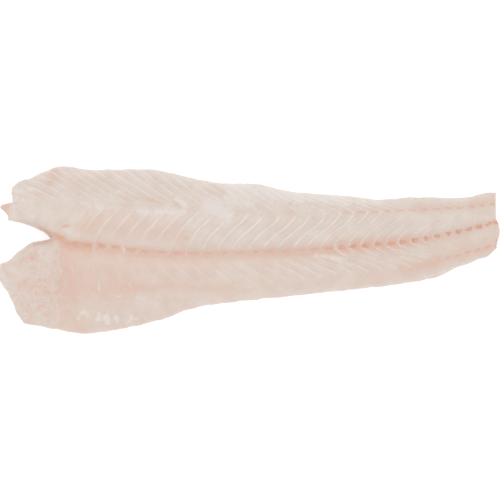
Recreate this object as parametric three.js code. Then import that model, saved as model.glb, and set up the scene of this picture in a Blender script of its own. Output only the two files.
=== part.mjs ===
// A raw, skinless stargazer fillet: one piece of fish lying on its skinned side, bone side up.
// The broad head end points to -X, with a V notch between the back loin (+Y) and the belly flap (-Y).
// The cut tail points to +X, and the flat underside lies on z = 0. All sizes are in millimetres.
import * as THREE from "three";
import { mergeVertices } from "three/addons/utils/BufferGeometryUtils.js";

// Overall sizes.
const LENGTH = 340; // belly flap tip to cut tail
const WIDTH = 114; // back edge to belly edge, at the broadest places of both
const LOIN_THICKNESS = 24; // thickest place of the loin, a little behind the notch

// Edges: the outer few millimetres turn down in a quarter round to a rim, and tuck in beneath it.
const EDGE_ROUND = 7; // how far in from the outline the rounding starts
const EDGE_SHARE = 0.4; // height of the rim, as a share of the flesh just inside it
const CUT_SHARE = 0.72; // the same at the two cut ends
const UNDERCUT = 1.6; // how far the underside is set in from the outline
const UNDERCUT_MIDDLE = 0.45; // how far in the wall is a little above the underside
const MIDDLE_HEIGHT = 0.35; // of that place, as a share of the rim

// Muscle blocks: the flesh is a row of W-shaped flakes, parted by thin sheets of connective tissue.
const BLOCK_BULGE = 0.4; // rise of a flake between two sheets
const SHEET_DEPTH = 0.25; // groove along a sheet
const SHEET_HALF_WIDTH = 0.13; // of that groove, as a share of one flake
const MIDLINE_DEPTH = 1.1; // furrow along the cut bone line
const MIDLINE_HALF_WIDTH = 3.6;
const BACK_LINE_DEPTH = 0.6; // shallower furrow where the back muscle folds
const BACK_LINE_HALF_WIDTH = 2.6;
const BELLY_LINE_DEPTH = 0.4; // the same in the belly muscle
const BELLY_LINE_HALF_WIDTH = 4;

// Belly flap, beside the notch: thin, wrinkled, with a crease where it leaves the loin.
const CREASE_X = -128;
const CREASE_DEPTH = 1.2;
const CREASE_HALF_WIDTH = 3.2;
const WRINKLE_DEPTH = 0.45;
const STRIP_STEP = 0.7; // drop from the belly muscle to the thin strip along its edge
const STRIP_Y = -32;

// Thin tip of dark flesh at the head end, lower than the loin it grows from.
const TIP_ROOT_X = -157;
const TIP_X = -165;
const TIP_ROOT_Y = 35;
const TIP_Y = 31;
const TIP_SHARE = 0.6;

// How finely the surface is divided.
const FLAKE_STATIONS = [0, 0.22, 0.5, 0.78];
const NOTCH_FLAKE = 3.69; // the flake at the notch
const TAIL_FLAKE = 32; // from here on the columns turn to follow the cut end
const HEAD_COLUMNS = 9;
const TAIL_COLUMNS = 13;
const INNER_ROWS = 7;
const OUTER_ROWS = 6;
const TIP_ROW = 0.95; // one more row, where the tip's top edge turns

const lerp = (a, b, t) => a + (b - a) * t;
const bell = (distance, halfWidth) => Math.exp(-((distance / halfWidth) ** 2));
const ease = (t) => t * t * (3 - 2 * t);
const ramp = (from, to, x) => ease(THREE.MathUtils.clamp((x - from) / (to - from), 0, 1));

// A smooth curve through its knots [x, y]: cubic pieces, straight on past both ends.
function smoothThrough(knots) {
  const last = knots.length - 1;
  const slopes = knots.map((knot, i) => {
    const [before, after] = [knots[Math.max(i - 1, 0)], knots[Math.min(i + 1, last)]];
    return (after[1] - before[1]) / (after[0] - before[0]);
  });
  return (x) => {
    if (x <= knots[0][0]) return knots[0][1] + slopes[0] * (x - knots[0][0]);
    if (x >= knots[last][0]) return knots[last][1] + slopes[last] * (x - knots[last][0]);
    const i = knots.findIndex((knot) => knot[0] > x) - 1;
    const span = knots[i + 1][0] - knots[i][0];
    const t = (x - knots[i][0]) / span;
    const bend = t * (1 - t) * span * (slopes[i] * (1 - t) - slopes[i + 1] * t);
    return lerp(knots[i][1], knots[i + 1][1], ease(t)) + bend;
  };
}

// A line across the fillet, from stations in percent of LENGTH and offsets in percent of WIDTH.
const planLine = (stations) =>
  smoothThrough(stations.map(([along, across]) => [(along * LENGTH) / 100, (across * WIDTH) / 100]));

// The same for an end outline: row coordinate, then station in percent of LENGTH.
const endLine = (stations) =>
  smoothThrough(stations.map(([row, along]) => [row, (along * LENGTH) / 100]));

// Lines that run the length of the fillet, seen from above.
const spineLine = planLine([
  [-50, 7.9], [-39.7, 7], [-35.6, 3.5], [-29.1, 2.6], [-20, -0.9], [-10.7, -1.8],
  [6.9, -0.4], [20, 2.2], [30.4, 4.8], [39.9, 10.1], [50, 17.1],
]);
const backEdge = planLine([
  [-47.5, 37.7], [-45.1, 42.1], [-43.9, 42.7], [-42.6, 44.8], [-40.5, 47.9], [-39.2, 49.2],
  [-37.3, 50], [-35.8, 49.9], [-33, 48.3], [-27.9, 48], [-23.5, 48.6], [-17.9, 47.4],
  [-6.8, 40.4], [1.6, 39.5], [8.4, 35.1], [19.7, 32.5], [26, 30.3], [32.1, 31.6], [43.1, 31.6],
  [47.2, 34.2], [49.4, 34.6],
]);
const backLine = planLine([
  [-50, 28.1], [-37.9, 28.9], [-20, 26.8], [0, 23.2], [10, 21.9], [20, 22.4], [40, 25], [49.4, 27.6],
]);
const bellyLine = planLine([
  [-50, -23.2], [-37.9, -23.7], [-15.9, -21.9], [-2.9, -21.5], [10, -18.4],
  [18.1, -15.4], [30, -11.4], [39.1, -4.8], [46, 0.9], [49.4, 3.5],
]);
const bellyEdge = planLine([
  [-50, -40.4], [-40, -46.5], [-32.4, -49.8], [-17.9, -41.7], [-12.4, -35.5],
  [-7.5, -32.5], [12, -26.2], [27.6, -21.1], [37.2, -16.2], [42.1, -9.6], [47.6, -3.5], [49.4, 1.3],
]);
const notchBackEdge = planLine([
  [-50, 18.9], [-48.1, 17.5], [-45.1, 15.8], [-42.8, 13.2], [-40.9, 10.1], [-39.7, 7],
]);
const notchBellyEdge = planLine([
  [-50, -8.8], [-47.9, -5.7], [-45.1, 1.3], [-43.4, 4.4], [-41.2, 6.1], [-39.7, 7],
]);

// Where each sheet of connective tissue crosses the spine line, counted from the head end.
const sheetKnots = [
  [0, -49.6], [7, -30.7], [11, -19], [14, -9.5], [22, 14.3], [27, 27.3], [32, 38.9], [37, 49.1],
].map(([number, along]) => [number, (along * LENGTH) / 100]);
const sheetX = smoothThrough(sheetKnots);
const sheetNumber = smoothThrough(sheetKnots.map(([number, x]) => [x, number]));
const NOTCH_X = sheetX(NOTCH_FLAKE);

// How far a sheet leans toward the tail on its way from the spine line out to the fold line of the
// muscle, and how far it sweeps back toward the head from there to the edge.
const backReach = smoothThrough([
  [-135, 16], [-90, 22], [-50, 23.5], [0, 22.5], [40, 21.8], [150, 21.8],
]);
const backSweep = smoothThrough([
  [-135, 34], [-112, 44], [-85, 45], [-60, 38], [-30, 31], [10, 29], [40, 30], [75, 27],
  [130, 17], [160, 17],
]);
const bellyReach = smoothThrough([
  [-135, 11], [-61, 22], [20, 29], [61, 32], [95, 33], [132, 29], [160, 29],
]);
const BELLY_SWEEP = 10;
const UPRIGHT_ROW = 0.12; // toward the tail a back sheet stands upright up to here

// Sheets missing from the outer back so far along, against the spine line: they stand closer there.
const outerMissing = smoothThrough([
  [-130, 2.9], [-110, 2.9], [-60, 1.4], [-42, 0.75], [-15, 0.5], [30, 0], [60, 0],
]);

const innerLean = (reach, x, row) => reach * lerp(row ** 1.5, ease(row), ramp(-60, 20, x));

// In the back, toward the tail, the sheets run straighter once they lean.
function innerBackLean(x, row) {
  const leaning = Math.max(row - UPRIGHT_ROW, 0) / (1 - UPRIGHT_ROW);
  const straight = backReach(x) * lerp(ease(leaning), leaning, 0.4);
  return lerp(innerLean(backReach(x), x, row), straight, ramp(35, 70, x));
}

function backLean(x, row) {
  const power = lerp(0.78, 1.2, ramp(-80, -35, x));
  const sweep = row > 1 ? backSweep(x) * (row - 1) ** power : 0;
  return innerBackLean(x, Math.min(row, 1)) - sweep;
}

const bellyLean = (x, row) =>
  innerLean(bellyReach(x), x, Math.min(row, 1)) - BELLY_SWEEP * Math.max(row - 1, 0);

// Thickness along the length, and how it falls off across it: row 0 is the spine line (or the
// notch), row 1 the fold line of the muscle and row 2 the outer edge.
const thickness = smoothThrough(
  [[-170, 0.64], [-120, 0.88], [-60, 1], [0, 0.88], [60, 0.68], [120, 0.52], [170, 0.42]].map(
    ([x, share]) => [x, share * LOIN_THICKNESS],
  ),
);
const backFall = smoothThrough([[0, 0.82], [0.75, 1], [1.5, 0.82], [2, 0.56]]);
const bellyFall = smoothThrough([[0, 0.82], [0.5, 0.8], [1.2, 0.56], [2, 0.32]]);
const bellyTailFall = smoothThrough([[0, 0.82], [0.6, 0.86], [1.2, 0.78], [2, 0.6]]);

const back = {
  fold: backLine,
  edge: backEdge,
  notchEdge: notchBackEdge,
  lean: backLean,
  fall: (x, row) => backFall(row),
  headEnd: endLine([
    [0, -48.4], [0.28, -48.3], [0.46, -48.9], [0.64, -49.7], [0.74, -49.8], [0.86, -49.5],
    [0.93, -49.2], [0.98, -47.6], [1.03, -47.2], [1.3, -47.2], [1.6, -47.5], [2, -47.5],
  ]),
  tailEnd: endLine([[0, 49.5], [0.25, 49.1], [1.7, 49.1], [2, 49.4]]),
};

const belly = {
  fold: bellyLine,
  edge: bellyEdge,
  notchEdge: notchBellyEdge,
  lean: bellyLean,
  fall: (x, row) => lerp(bellyFall(row), bellyTailFall(row), ramp(0, 110, x)),
  headEnd: endLine([
    [0, -49.6], [0.39, -50], [0.7, -49.7], [1, -48.7], [1.4, -47.4], [1.75, -46.5],
    [1.95, -45.6], [2, -45.2],
  ]),
  tailEnd: endLine([[0, 49.5], [0.22, 49.8], [0.44, 50], [0.82, 49.5], [1.24, 49.3], [2, 49.4]]),
};

// The inner edge of a half: its side of the notch, then the spine line they share.
const innerLine = (half, x) => (x < NOTCH_X ? half.notchEdge(x) : spineLine(x));

// Plan position of a grid point. Columns run from -1 (head end) over 0 (the notch) and 1 (where
// the tail starts) to 2 (tail end); between 0 and 1 each column follows one W of the flakes.
function planPoint(half, column, row) {
  const flake = lerp(NOTCH_FLAKE, TAIL_FLAKE, THREE.MathUtils.clamp(column, 0, 1));
  let x = sheetX(flake) + half.lean(sheetX(flake), row);
  if (column < 0) x = lerp(x, half.headEnd(row), -column);
  if (column > 1) x = lerp(x, half.tailEnd(row), column - 1);
  const inner = lerp(innerLine(half, x), half.fold(x), Math.min(row, 1));
  return [x, row > 1 ? lerp(half.fold(x), half.edge(x), row - 1) : inner];
}

const halfAt = (x, y) => (y > spineLine(x) ? back : belly);

function rowAt(half, x, y) {
  const inner = (y - spineLine(x)) / (half.fold(x) - spineLine(x));
  const outer = 1 + (y - half.fold(x)) / (half.edge(x) - half.fold(x));
  return THREE.MathUtils.clamp(inner > 1 ? outer : inner, 0, 2);
}

// Which flake a plan position lies in: the sheet number at the spine line, with its fraction. The
// sheet's root is found by taking off its lean, worked out again at each new root. Past the fold
// line of the back the count has its own pace.
function flakeAt(x, y) {
  const half = halfAt(x, y);
  const row = rowAt(half, x, y);
  let root = x;
  for (let i = 0; i < 5; i++) root = x - half.lean(root, row);
  const missing = half === back ? outerMissing(root) * ramp(0.98, 1.02, row) : 0;
  return sheetNumber(root) - missing;
}

// How clearly the sheets show in the back: the outer arms from the head end on, the inner arms
// from behind the notch. Over most of the length they stop short of the spine line and fade at the
// fold line, and the outer arms fade first toward the tail.
function backSheetShow(x, row, fromSpine) {
  const innerArms = ramp(-122, -98, x) * lerp(0.75, 1, ramp(-70, -40, x));
  const arms = lerp(innerArms, 0.75 * ramp(-168, -155, x), ramp(0.9, 1.1, row));
  const foldBand = lerp(lerp(0.35, 0.2, ramp(-70, -40, x)), 0.15, ramp(0.99, 1.01, row));
  const joined = lerp(ramp(0, foldBand, Math.abs(row - 1)), 1, ramp(25, 62, x));
  const root = lerp(14, 6, ramp(-50, -28, x));
  const rooted = lerp(1, ramp(0.15 * root, root, fromSpine), ramp(-100, -90, x) * ramp(65, 45, x));
  const tail = lerp(ramp(150, 118, x), ramp(110, 80, x), ramp(0.5, 0.85, row));
  return arms * joined * rooted * tail * ramp(2.02, 1.9, row);
}

// The same in the belly: faint but for a stretch toward the tail.
function bellySheetShow(x, row, fromSpine) {
  const stretch = lerp(0.22, 0.7, ramp(0, 50, x)) * ramp(148, 100, x) * ramp(-80, -45, x);
  return stretch * ramp(1.1, 0.75, row) * lerp(ramp(2, 9, fromSpine), 1, ramp(45, 65, x));
}

// Flakes stand proud between their sheets, as far as the sheets show.
function flakeRelief(x, y) {
  const number = flakeAt(x, y);
  const fromSheet = number - Math.round(number);
  const bulge = BLOCK_BULGE * Math.sin(Math.PI * fromSheet) ** 2;
  const groove = SHEET_DEPTH * bell(fromSheet, SHEET_HALF_WIDTH);
  const half = halfAt(x, y);
  const sheetShow = half === back ? backSheetShow : bellySheetShow;
  return (bulge - groove) * sheetShow(x, rowAt(half, x, y), Math.abs(y - spineLine(x)));
}

// Furrows along the bone line and the two fold lines.
function furrows(x, y) {
  const afterNotch = ramp(-138, -120, x);
  const midline = MIDLINE_DEPTH * bell(y - spineLine(x), MIDLINE_HALF_WIDTH) * afterNotch;
  const backFold = BACK_LINE_DEPTH * bell(y - backLine(x), BACK_LINE_HALF_WIDTH);
  const bellyFold = BELLY_LINE_DEPTH * bell(y - bellyLine(x), BELLY_LINE_HALF_WIDTH);
  return -(midline + backFold + bellyFold * ramp(-70, -30, x));
}

// Wrinkles of the belly flap and the crease at its root.
function flapRelief(x, y) {
  const inFlap = ramp(-112, -136, x) * ramp(9, 2, y);
  const bend = 0.42 * x + 0.3 * y + 2.2 * Math.sin(0.11 * y);
  const waves = Math.sin(bend) * Math.sin(0.23 * y + 0.16 * x);
  const alongCrease = ramp(-34, -22, y) * ramp(8, 3, y);
  const crease = CREASE_DEPTH * bell(x - CREASE_X - 0.05 * y, CREASE_HALF_WIDTH) * alongCrease;
  return WRINKLE_DEPTH * waves * inFlap - crease;
}

// The thin strip along the belly edge lies a step lower than the muscle beside it.
const stripStep = (x, y) => -STRIP_STEP * ramp(STRIP_Y + 1.2, STRIP_Y - 1.2, y) * ramp(-20, -60, x);

// Soft, slow waves of flesh that has been lifted and laid down.
const slump = (x, y) =>
  0.5 * Math.sin(0.052 * x + 0.9) * Math.cos(0.06 * y) + 0.35 * Math.sin(0.095 * x - 0.07 * y + 2);

const surfaceRelief = (x, y) =>
  flakeRelief(x, y) + furrows(x, y) + flapRelief(x, y) + stripStep(x, y) + slump(x, y);

// Height of the bone side at a grid point, a given distance in from the outline.
function topHeight(half, x, y, row, fromOutline) {
  const inTip = half === back ? ramp(TIP_ROOT_X, TIP_X, x) * ramp(TIP_ROOT_Y, TIP_Y, y) : 0;
  const flesh = thickness(x) * half.fall(x, row) * lerp(1, TIP_SHARE, inTip);
  const inward = Math.min(fromOutline / EDGE_ROUND, 1);
  const rim = lerp(EDGE_SHARE, CUT_SHARE, ramp(-140, -156, x) + ramp(154, 166, x));
  const rounding = rim + (1 - rim) * Math.sqrt(inward * (2 - inward));
  return flesh * rounding + surfaceRelief(x, y) * inward;
}

const span = (from, to, steps) =>
  Array.from({ length: steps + 1 }, (_, i) => lerp(from, to, i / steps));

// Column coordinates of the grid: the flakes' own stations between the lobes and the tail.
function columnStations() {
  const flakes = [];
  for (let flake = Math.floor(NOTCH_FLAKE); flake < TAIL_FLAKE; flake++)
    for (const station of FLAKE_STATIONS) flakes.push(flake + station);
  const body = flakes
    .filter((flake) => flake > NOTCH_FLAKE + 0.1)
    .map((flake) => (flake - NOTCH_FLAKE) / (TAIL_FLAKE - NOTCH_FLAKE));
  return [...span(-1, 0, HEAD_COLUMNS), ...body, ...span(1, 2, TAIL_COLUMNS)];
}

const columns = columnStations();
const rows = [...span(0, 1, INNER_ROWS).slice(0, -1), TIP_ROW, ...span(1, 2, OUTER_ROWS)];

// The outline as grid coordinates, once round: back edge, tail, belly edge, belly flap, notch, loin.
function outlineWalk() {
  const lobe = columns.filter((column) => column <= 0);
  const along = (half, list, row) => list.map((column) => ({ half, column, row }));
  const across = (half, list, column) => list.map((row) => ({ half, column, row }));
  const inward = rows.toReversed();
  return [
    ...along(back, columns, 2),
    ...across(back, inward.slice(1), 2),
    ...across(belly, rows.slice(1), 2),
    ...along(belly, columns.toReversed().slice(1), 2),
    ...across(belly, inward.slice(1), -1),
    ...along(belly, lobe.slice(1), 0),
    ...along(back, lobe.toReversed().slice(1), 0),
    ...across(back, rows.slice(1, -1), -1),
  ];
}

// Moves an outline point inward by a distance, along the grid lines that reach it.
function insetPoint({ half, column, row }, distance) {
  const at = (someColumn, someRow) => planPoint(half, someColumn, someRow);
  const bandHeight = (from, to) => Math.abs(at(column, to)[1] - at(column, from)[1]);
  const outer = distance / bandHeight(1, 2);
  const inner = column < 0 ? distance / bandHeight(0, 1) : 0;
  let newColumn = column;
  if (column === -1) newColumn += distance / (at(0, row)[0] - at(-1, row)[0]);
  if (column === 2) newColumn -= distance / (at(2, row)[0] - at(1, row)[0]);
  if (column === 0 && row === 0) newColumn += distance / (at(1, 0)[0] - at(0, 0)[0]);
  return at(newColumn, lerp(inner, 2 - outer, row / 2));
}

function distanceToOutline(x, y, outline) {
  let nearest = Infinity;
  outline.forEach(([ax, ay], i) => {
    const [bx, by] = outline[(i + 1) % outline.length];
    const [ex, ey] = [bx - ax, by - ay];
    const t = THREE.MathUtils.clamp(((x - ax) * ex + (y - ay) * ey) / (ex * ex + ey * ey), 0, 1);
    nearest = Math.min(nearest, Math.hypot(x - ax - t * ex, y - ay - t * ey));
  });
  return nearest;
}

// Triangles of the bone side of one half.
function topFaces(half, outline) {
  const point = (column, row) => {
    const [x, y] = planPoint(half, column, row);
    return [x, y, topHeight(half, x, y, row, distanceToOutline(x, y, outline))];
  };
  const grid = columns.map((column) => rows.map((row) => point(column, row)));
  const faces = [];
  for (let i = 0; i + 1 < columns.length; i++)
    for (let j = 0; j + 1 < rows.length; j++) {
      const [a, b, c, d] = [grid[i][j], grid[i + 1][j], grid[i + 1][j + 1], grid[i][j + 1]];
      faces.push(...(half === back ? [a, b, c, a, c, d] : [a, c, b, a, d, c]));
    }
  return faces;
}

// Triangles between two rings round the outline, the first above the second.
function bandFaces(upper, lower) {
  return upper.flatMap((a, i) => {
    const next = (i + 1) % upper.length;
    return [a, upper[next], lower[next], a, lower[next], lower[i]];
  });
}

// Flat triangles that close the underside, inside its ring.
function undersideFaces(ring) {
  const contour = ring.map(([x, y]) => new THREE.Vector2(x, y));
  return THREE.ShapeUtils.triangulateShape(contour, []).flatMap((corners) => {
    const [a, b, c] = corners.map((i) => ring[i]);
    const turn = (b[0] - a[0]) * (c[1] - a[1]) - (b[1] - a[1]) * (c[0] - a[0]);
    return turn > 0 ? [a, c, b] : [a, b, c];
  });
}

function filletGeometry() {
  const walk = outlineWalk();
  const outline = walk.map(({ half, column, row }) => planPoint(half, column, row));
  const rim = walk.map(({ half, row }, i) => {
    const [x, y] = outline[i];
    return [x, y, topHeight(half, x, y, row, 0)];
  });
  const tuck = walk.map((step, i) => [...insetPoint(step, UNDERCUT_MIDDLE), MIDDLE_HEIGHT * rim[i][2]]);
  const foot = walk.map((step) => [...insetPoint(step, UNDERCUT), 0]);
  const corners = [
    ...topFaces(back, outline),
    ...topFaces(belly, outline),
    ...bandFaces(rim, tuck),
    ...bandFaces(tuck, foot),
    ...undersideFaces(foot),
  ];
  const geometry = new THREE.BufferGeometry();
  geometry.setAttribute("position", new THREE.Float32BufferAttribute(corners.flat(), 3));
  const merged = mergeVertices(geometry, 1e-3);
  merged.computeVertexNormals();
  return merged;
}

const flesh = new THREE.MeshStandardMaterial({ color: 0xdfccc0, roughness: 0.32, metalness: 0 });
const fillet = new THREE.Mesh(filletGeometry(), flesh);
fillet.name = "fillet";

const part = new THREE.Group();
part.name = "stargazer_fillet";
part.add(fillet);

export default part;
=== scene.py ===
"""A raw, skinless stargazer fillet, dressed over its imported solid.

The fillet lies on its skinned side, bone side up, with the broad head end toward -X and the cut
tail toward +X. The back loin is on the +Y side of the spine line and the belly muscle on the -Y
side. Surface functions work in millimetres of the fillet as modelled, and the finished mesh is
scaled from them to the sizes in the panel, which are in metres.
"""
from functools import partial
from typing import Callable, NamedTuple

import bpy
import numpy as np
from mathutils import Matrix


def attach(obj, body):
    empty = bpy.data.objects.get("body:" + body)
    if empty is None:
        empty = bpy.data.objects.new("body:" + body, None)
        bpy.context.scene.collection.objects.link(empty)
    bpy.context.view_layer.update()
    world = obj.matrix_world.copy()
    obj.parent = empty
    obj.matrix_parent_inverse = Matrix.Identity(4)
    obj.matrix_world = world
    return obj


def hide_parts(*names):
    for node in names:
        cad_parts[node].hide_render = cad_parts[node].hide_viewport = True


bl_info = {
    "name": "Stargazer Fillet",
    "version": (1, 0, 0),
    "blender": (4, 5, 0),
    "location": "View3D > Sidebar > Fillet",
    "description": "Adds a raw white fish fillet and a plain studio to look at it in",
    "category": "Add Mesh",
}

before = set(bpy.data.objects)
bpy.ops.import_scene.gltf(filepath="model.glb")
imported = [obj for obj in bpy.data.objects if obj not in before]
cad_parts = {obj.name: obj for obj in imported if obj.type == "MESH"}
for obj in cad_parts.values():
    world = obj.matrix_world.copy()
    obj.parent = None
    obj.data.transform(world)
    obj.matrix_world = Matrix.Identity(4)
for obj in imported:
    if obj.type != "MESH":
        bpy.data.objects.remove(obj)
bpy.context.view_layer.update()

MM = 0.001
LENGTH = 340.0  # as modelled, in millimetres, like every number of the surface below
WIDTH = 114.0
LOIN_THICKNESS = 24.0

# Edges.
EDGE_ROUND = 7.0  # how far in from the outline the rounding starts
EDGE_SHARE = 0.4  # height of the rim, as a share of the flesh just inside it
CUT_SHARE = 0.72  # the same at the two cut ends
UNDERCUT = 1.6  # how far the underside is set in from the outline
WALL_STEPS = 4  # bands of faces between the rim and the underside

# Muscle blocks and the furrows between them.
BLOCK_BULGE = 0.4  # how proud the middle of a flake stands
SHEET_DEPTH = 0.25  # how far a sheet is sunken
SHEET_HALF_WIDTH = 0.13  # as a share of one flake
MIDLINE_DEPTH = 1.1
MIDLINE_HALF_WIDTH = 3.6
BACK_LINE_DEPTH = 0.6
BACK_LINE_HALF_WIDTH = 2.6
BELLY_LINE_DEPTH = 0.4
BELLY_LINE_HALF_WIDTH = 4.0

# Belly flap and the thin strip along the belly edge.
CREASE_X = -128.0
CREASE_LEAN = 0.05  # how far toward the tail it runs, for each millimetre toward the back
CREASE_DEPTH = 1.2
CREASE_HALF_WIDTH = 3.2
WRINKLE_DEPTH = 0.45
STRIP_STEP = 0.7
STRIP_Y = -32.0
STRIP_HALF_SLOPE = 1.2  # the step falls over twice this width

# Thin tip of dark flesh at the head end.
TIP_ROOT = (-157.0, 35.0)
TIP_END = (-165.0, 31.0)
TIP_SHARE = 0.6  # its thickness, as a share of the loin's beside it

# Small unevenness of the surface, and of the outline that the knife left.
RIPPLE_HEIGHT = 0.06
RIPPLE_SIZE = 4.0
MEMBRANE_AND_GLINT_HEIGHT = 0.3
BLOOD_DEPTH = 0.3
KNIFE_WANDER = 0.3
KNIFE_REACH = 4.0  # how far in from the outline it dies away
KNIFE_WAVE = 9.0

# The grid. Columns lie closer beside the sheets, where a flake turns down.
FLAKE_STATIONS = (0.0, 0.06, 0.12, 0.2, 0.3, 0.42, 0.58, 0.7, 0.8, 0.88, 0.94)
NOTCH_FLAKE = 3.69
FIRST_GAP = 0.05  # least gap between the notch and the next column, in flakes
TAIL_FLAKE = 32
HEAD_COLUMNS = 44
TAIL_COLUMNS = 40
INNER_ROWS = 27
OUTER_ROWS = 21
TIP_ROWS = (0.93, 0.968, 0.978, 0.988, 1.01, 1.02, 1.03, 1.045)  # more rows beside the tip
CROWDING = 1.3  # above 1, rows and columns crowd toward the outline
ROOT_STEPS = 5  # rounds in which the root of a leaning sheet is found
CHUNK = 2000  # points whose distances to the outline are worked out at a time

# The studio, in metres.
WHITE = (1, 1, 1, 1)
FLOOR_HALF_SIDE = 4.0
FLOOR_GAP = 0.0002  # between the floor and the underside, so that they don't show through each other
KEY_PLACE = (-0.12, 0.05, 1.3)
KEY_SIZE = 1.0
SENSOR_WIDTH = 36.0  # in millimetres
WIDEST_HEIGHT = 0.004  # height at which the ends of the fillet just fill the picture
CAMERA_ASIDE = 0.0002  # the camera stands this much off centre, as over the photo's middle


def lerp(start, end, share):
    """The value that lies a share of the way from start to end."""
    return start + (end - start) * share


def bell(distance, half_width):
    """A bell curve that is 1 at no distance and 1/e at the half width."""
    return np.exp(-((distance / half_width) ** 2))


def ease(share):
    """A smooth step between 0 and 1: three squares less two cubes."""
    return share * share * (3 - 2 * share)


def ramp(start, end, x):
    """An eased climb from 0 at start to 1 at end, which may be the smaller of the two."""
    return ease(np.clip((x - start) / (end - start), 0, 1))


def smooth_through(knots):
    """A curve through its knots (x, y). Between two knots it is a cubic, whose slope at each is
    that of the chord between the knot's neighbours. Past both ends it goes straight on."""
    xs, ys = np.array(knots, float).T
    last = len(xs) - 1
    before = np.maximum(np.arange(last + 1) - 1, 0)
    after = np.minimum(np.arange(last + 1) + 1, last)
    slopes = (ys[after] - ys[before]) / (xs[after] - xs[before])

    def curve(x):
        i = np.clip(np.searchsorted(xs, x, side="right") - 1, 0, last - 1)
        width = xs[i + 1] - xs[i]
        t = np.clip((x - xs[i]) / width, 0, 1)
        bend = t * (1 - t) * width * (slopes[i] * (1 - t) - slopes[i + 1] * t)
        past = slopes[0] * np.minimum(x - xs[0], 0) + slopes[last] * np.maximum(x - xs[last], 0)
        return lerp(ys[i], ys[i + 1], ease(t)) + bend + past

    return curve


def plan_line(stations):
    """A line along the fillet, from stations in percent of LENGTH and offsets in percent of WIDTH."""
    return smooth_through([(along * LENGTH / 100, across * WIDTH / 100) for along, across in stations])


def end_line(stations):
    """An end outline: row coordinate, then station in percent of LENGTH."""
    return smooth_through([(row, along * LENGTH / 100) for row, along in stations])


spine_line = plan_line([
    (-50, 7.9), (-39.7, 7), (-35.6, 3.5), (-29.1, 2.6), (-20, -0.9), (-10.7, -1.8), (6.9, -0.4),
    (20, 2.2), (30.4, 4.8), (39.9, 10.1), (50, 17.1),
])
back_edge = plan_line([
    (-47.5, 37.7), (-45.1, 42.1), (-43.9, 42.7), (-42.6, 44.8), (-40.5, 47.9), (-39.2, 49.2),
    (-37.3, 50), (-35.8, 49.9), (-33, 48.3), (-27.9, 48), (-23.5, 48.6), (-17.9, 47.4),
    (-6.8, 40.4), (1.6, 39.5), (8.4, 35.1), (19.7, 32.5), (26, 30.3), (32.1, 31.6), (43.1, 31.6),
    (47.2, 34.2), (49.4, 34.6),
])
back_line = plan_line([
    (-50, 28.1), (-37.9, 28.9), (-20, 26.8), (0, 23.2), (10, 21.9), (20, 22.4), (40, 25),
    (49.4, 27.6),
])
belly_line = plan_line([
    (-50, -23.2), (-37.9, -23.7), (-15.9, -21.9), (-2.9, -21.5), (10, -18.4), (18.1, -15.4),
    (30, -11.4), (39.1, -4.8), (46, 0.9), (49.4, 3.5),
])
belly_edge = plan_line([
    (-50, -40.4), (-40, -46.5), (-32.4, -49.8), (-17.9, -41.7), (-12.4, -35.5), (-7.5, -32.5),
    (12, -26.2), (27.6, -21.1), (37.2, -16.2), (42.1, -9.6), (47.6, -3.5), (49.4, 1.3),
])
notch_back_edge = plan_line([
    (-50, 18.9), (-48.1, 17.5), (-45.1, 15.8), (-42.8, 13.2), (-40.9, 10.1), (-39.7, 7),
])
notch_belly_edge = plan_line([
    (-50, -8.8), (-47.9, -5.7), (-45.1, 1.3), (-43.4, 4.4), (-41.2, 6.1), (-39.7, 7),
])

# Where each sheet of connective tissue crosses the spine line, counted from the head end.
SHEET_KNOTS = [
    (number, along * LENGTH / 100)
    for number, along in (
        (0, -49.6), (7, -30.7), (11, -19), (14, -9.5), (22, 14.3), (27, 27.3), (32, 38.9), (37, 49.1),
    )
]
sheet_x = smooth_through(SHEET_KNOTS)
sheet_number = smooth_through([(x, number) for number, x in SHEET_KNOTS])
NOTCH_X = float(sheet_x(NOTCH_FLAKE))

# How far a sheet leans toward the tail on its way from the spine line out to the fold line of the
# muscle, and how far it sweeps back toward the head from there to the edge.
back_reach = smooth_through([
    (-135, 16), (-90, 22), (-50, 23.5), (0, 22.5), (40, 21.8), (150, 21.8),
])
back_sweep = smooth_through([
    (-135, 34), (-112, 44), (-85, 45), (-60, 38), (-30, 31), (10, 29), (40, 30), (75, 27), (130, 17),
    (160, 17),
])
belly_reach = smooth_through([
    (-135, 11), (-61, 22), (20, 29), (61, 32), (95, 33), (132, 29), (160, 29),
])
BELLY_SWEEP = 10.0
UPRIGHT_ROW = 0.12  # toward the tail a back sheet stands upright up to here

# Sheets missing from the outer back so far along, against the spine line: they stand closer there.
outer_missing = smooth_through([
    (-130, 2.9), (-110, 2.9), (-60, 1.4), (-42, 0.75), (-15, 0.5), (30, 0), (60, 0),
])


def inner_lean(reach, x, row):
    """How far a sheet has leaned between the spine line and the fold line: its reach times the row
    to the power of 1.5 near the head, and times the eased row toward the tail."""
    return reach * lerp(row**1.5, ease(row), ramp(-60, 20, x))


def inner_back_lean(x, row):
    """The same in the back, where toward the tail a sheet stands upright at first and then leans
    straighter: between the eased and the plain share of its way."""
    leaning = np.maximum(row - UPRIGHT_ROW, 0) / (1 - UPRIGHT_ROW)
    straight = back_reach(x) * lerp(ease(leaning), leaning, 0.4)
    return lerp(inner_lean(back_reach(x), x, row), straight, ramp(35, 70, x))


def back_lean(x, row):
    """Lean of a back sheet: out to the fold line it grows to its reach, and from there to the edge
    it sweeps back toward the head, by its sweep times a power of the row past the fold line."""
    power = lerp(0.78, 1.2, ramp(-80, -35, x))
    return inner_back_lean(x, np.minimum(row, 1)) - back_sweep(x) * np.maximum(row - 1, 0) ** power


def belly_lean(x, row):
    """Lean of a belly sheet: the same, with a straight and shorter sweep."""
    inner = inner_lean(belly_reach(x), x, np.minimum(row, 1))
    return inner - BELLY_SWEEP * np.maximum(row - 1, 0)


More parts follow.
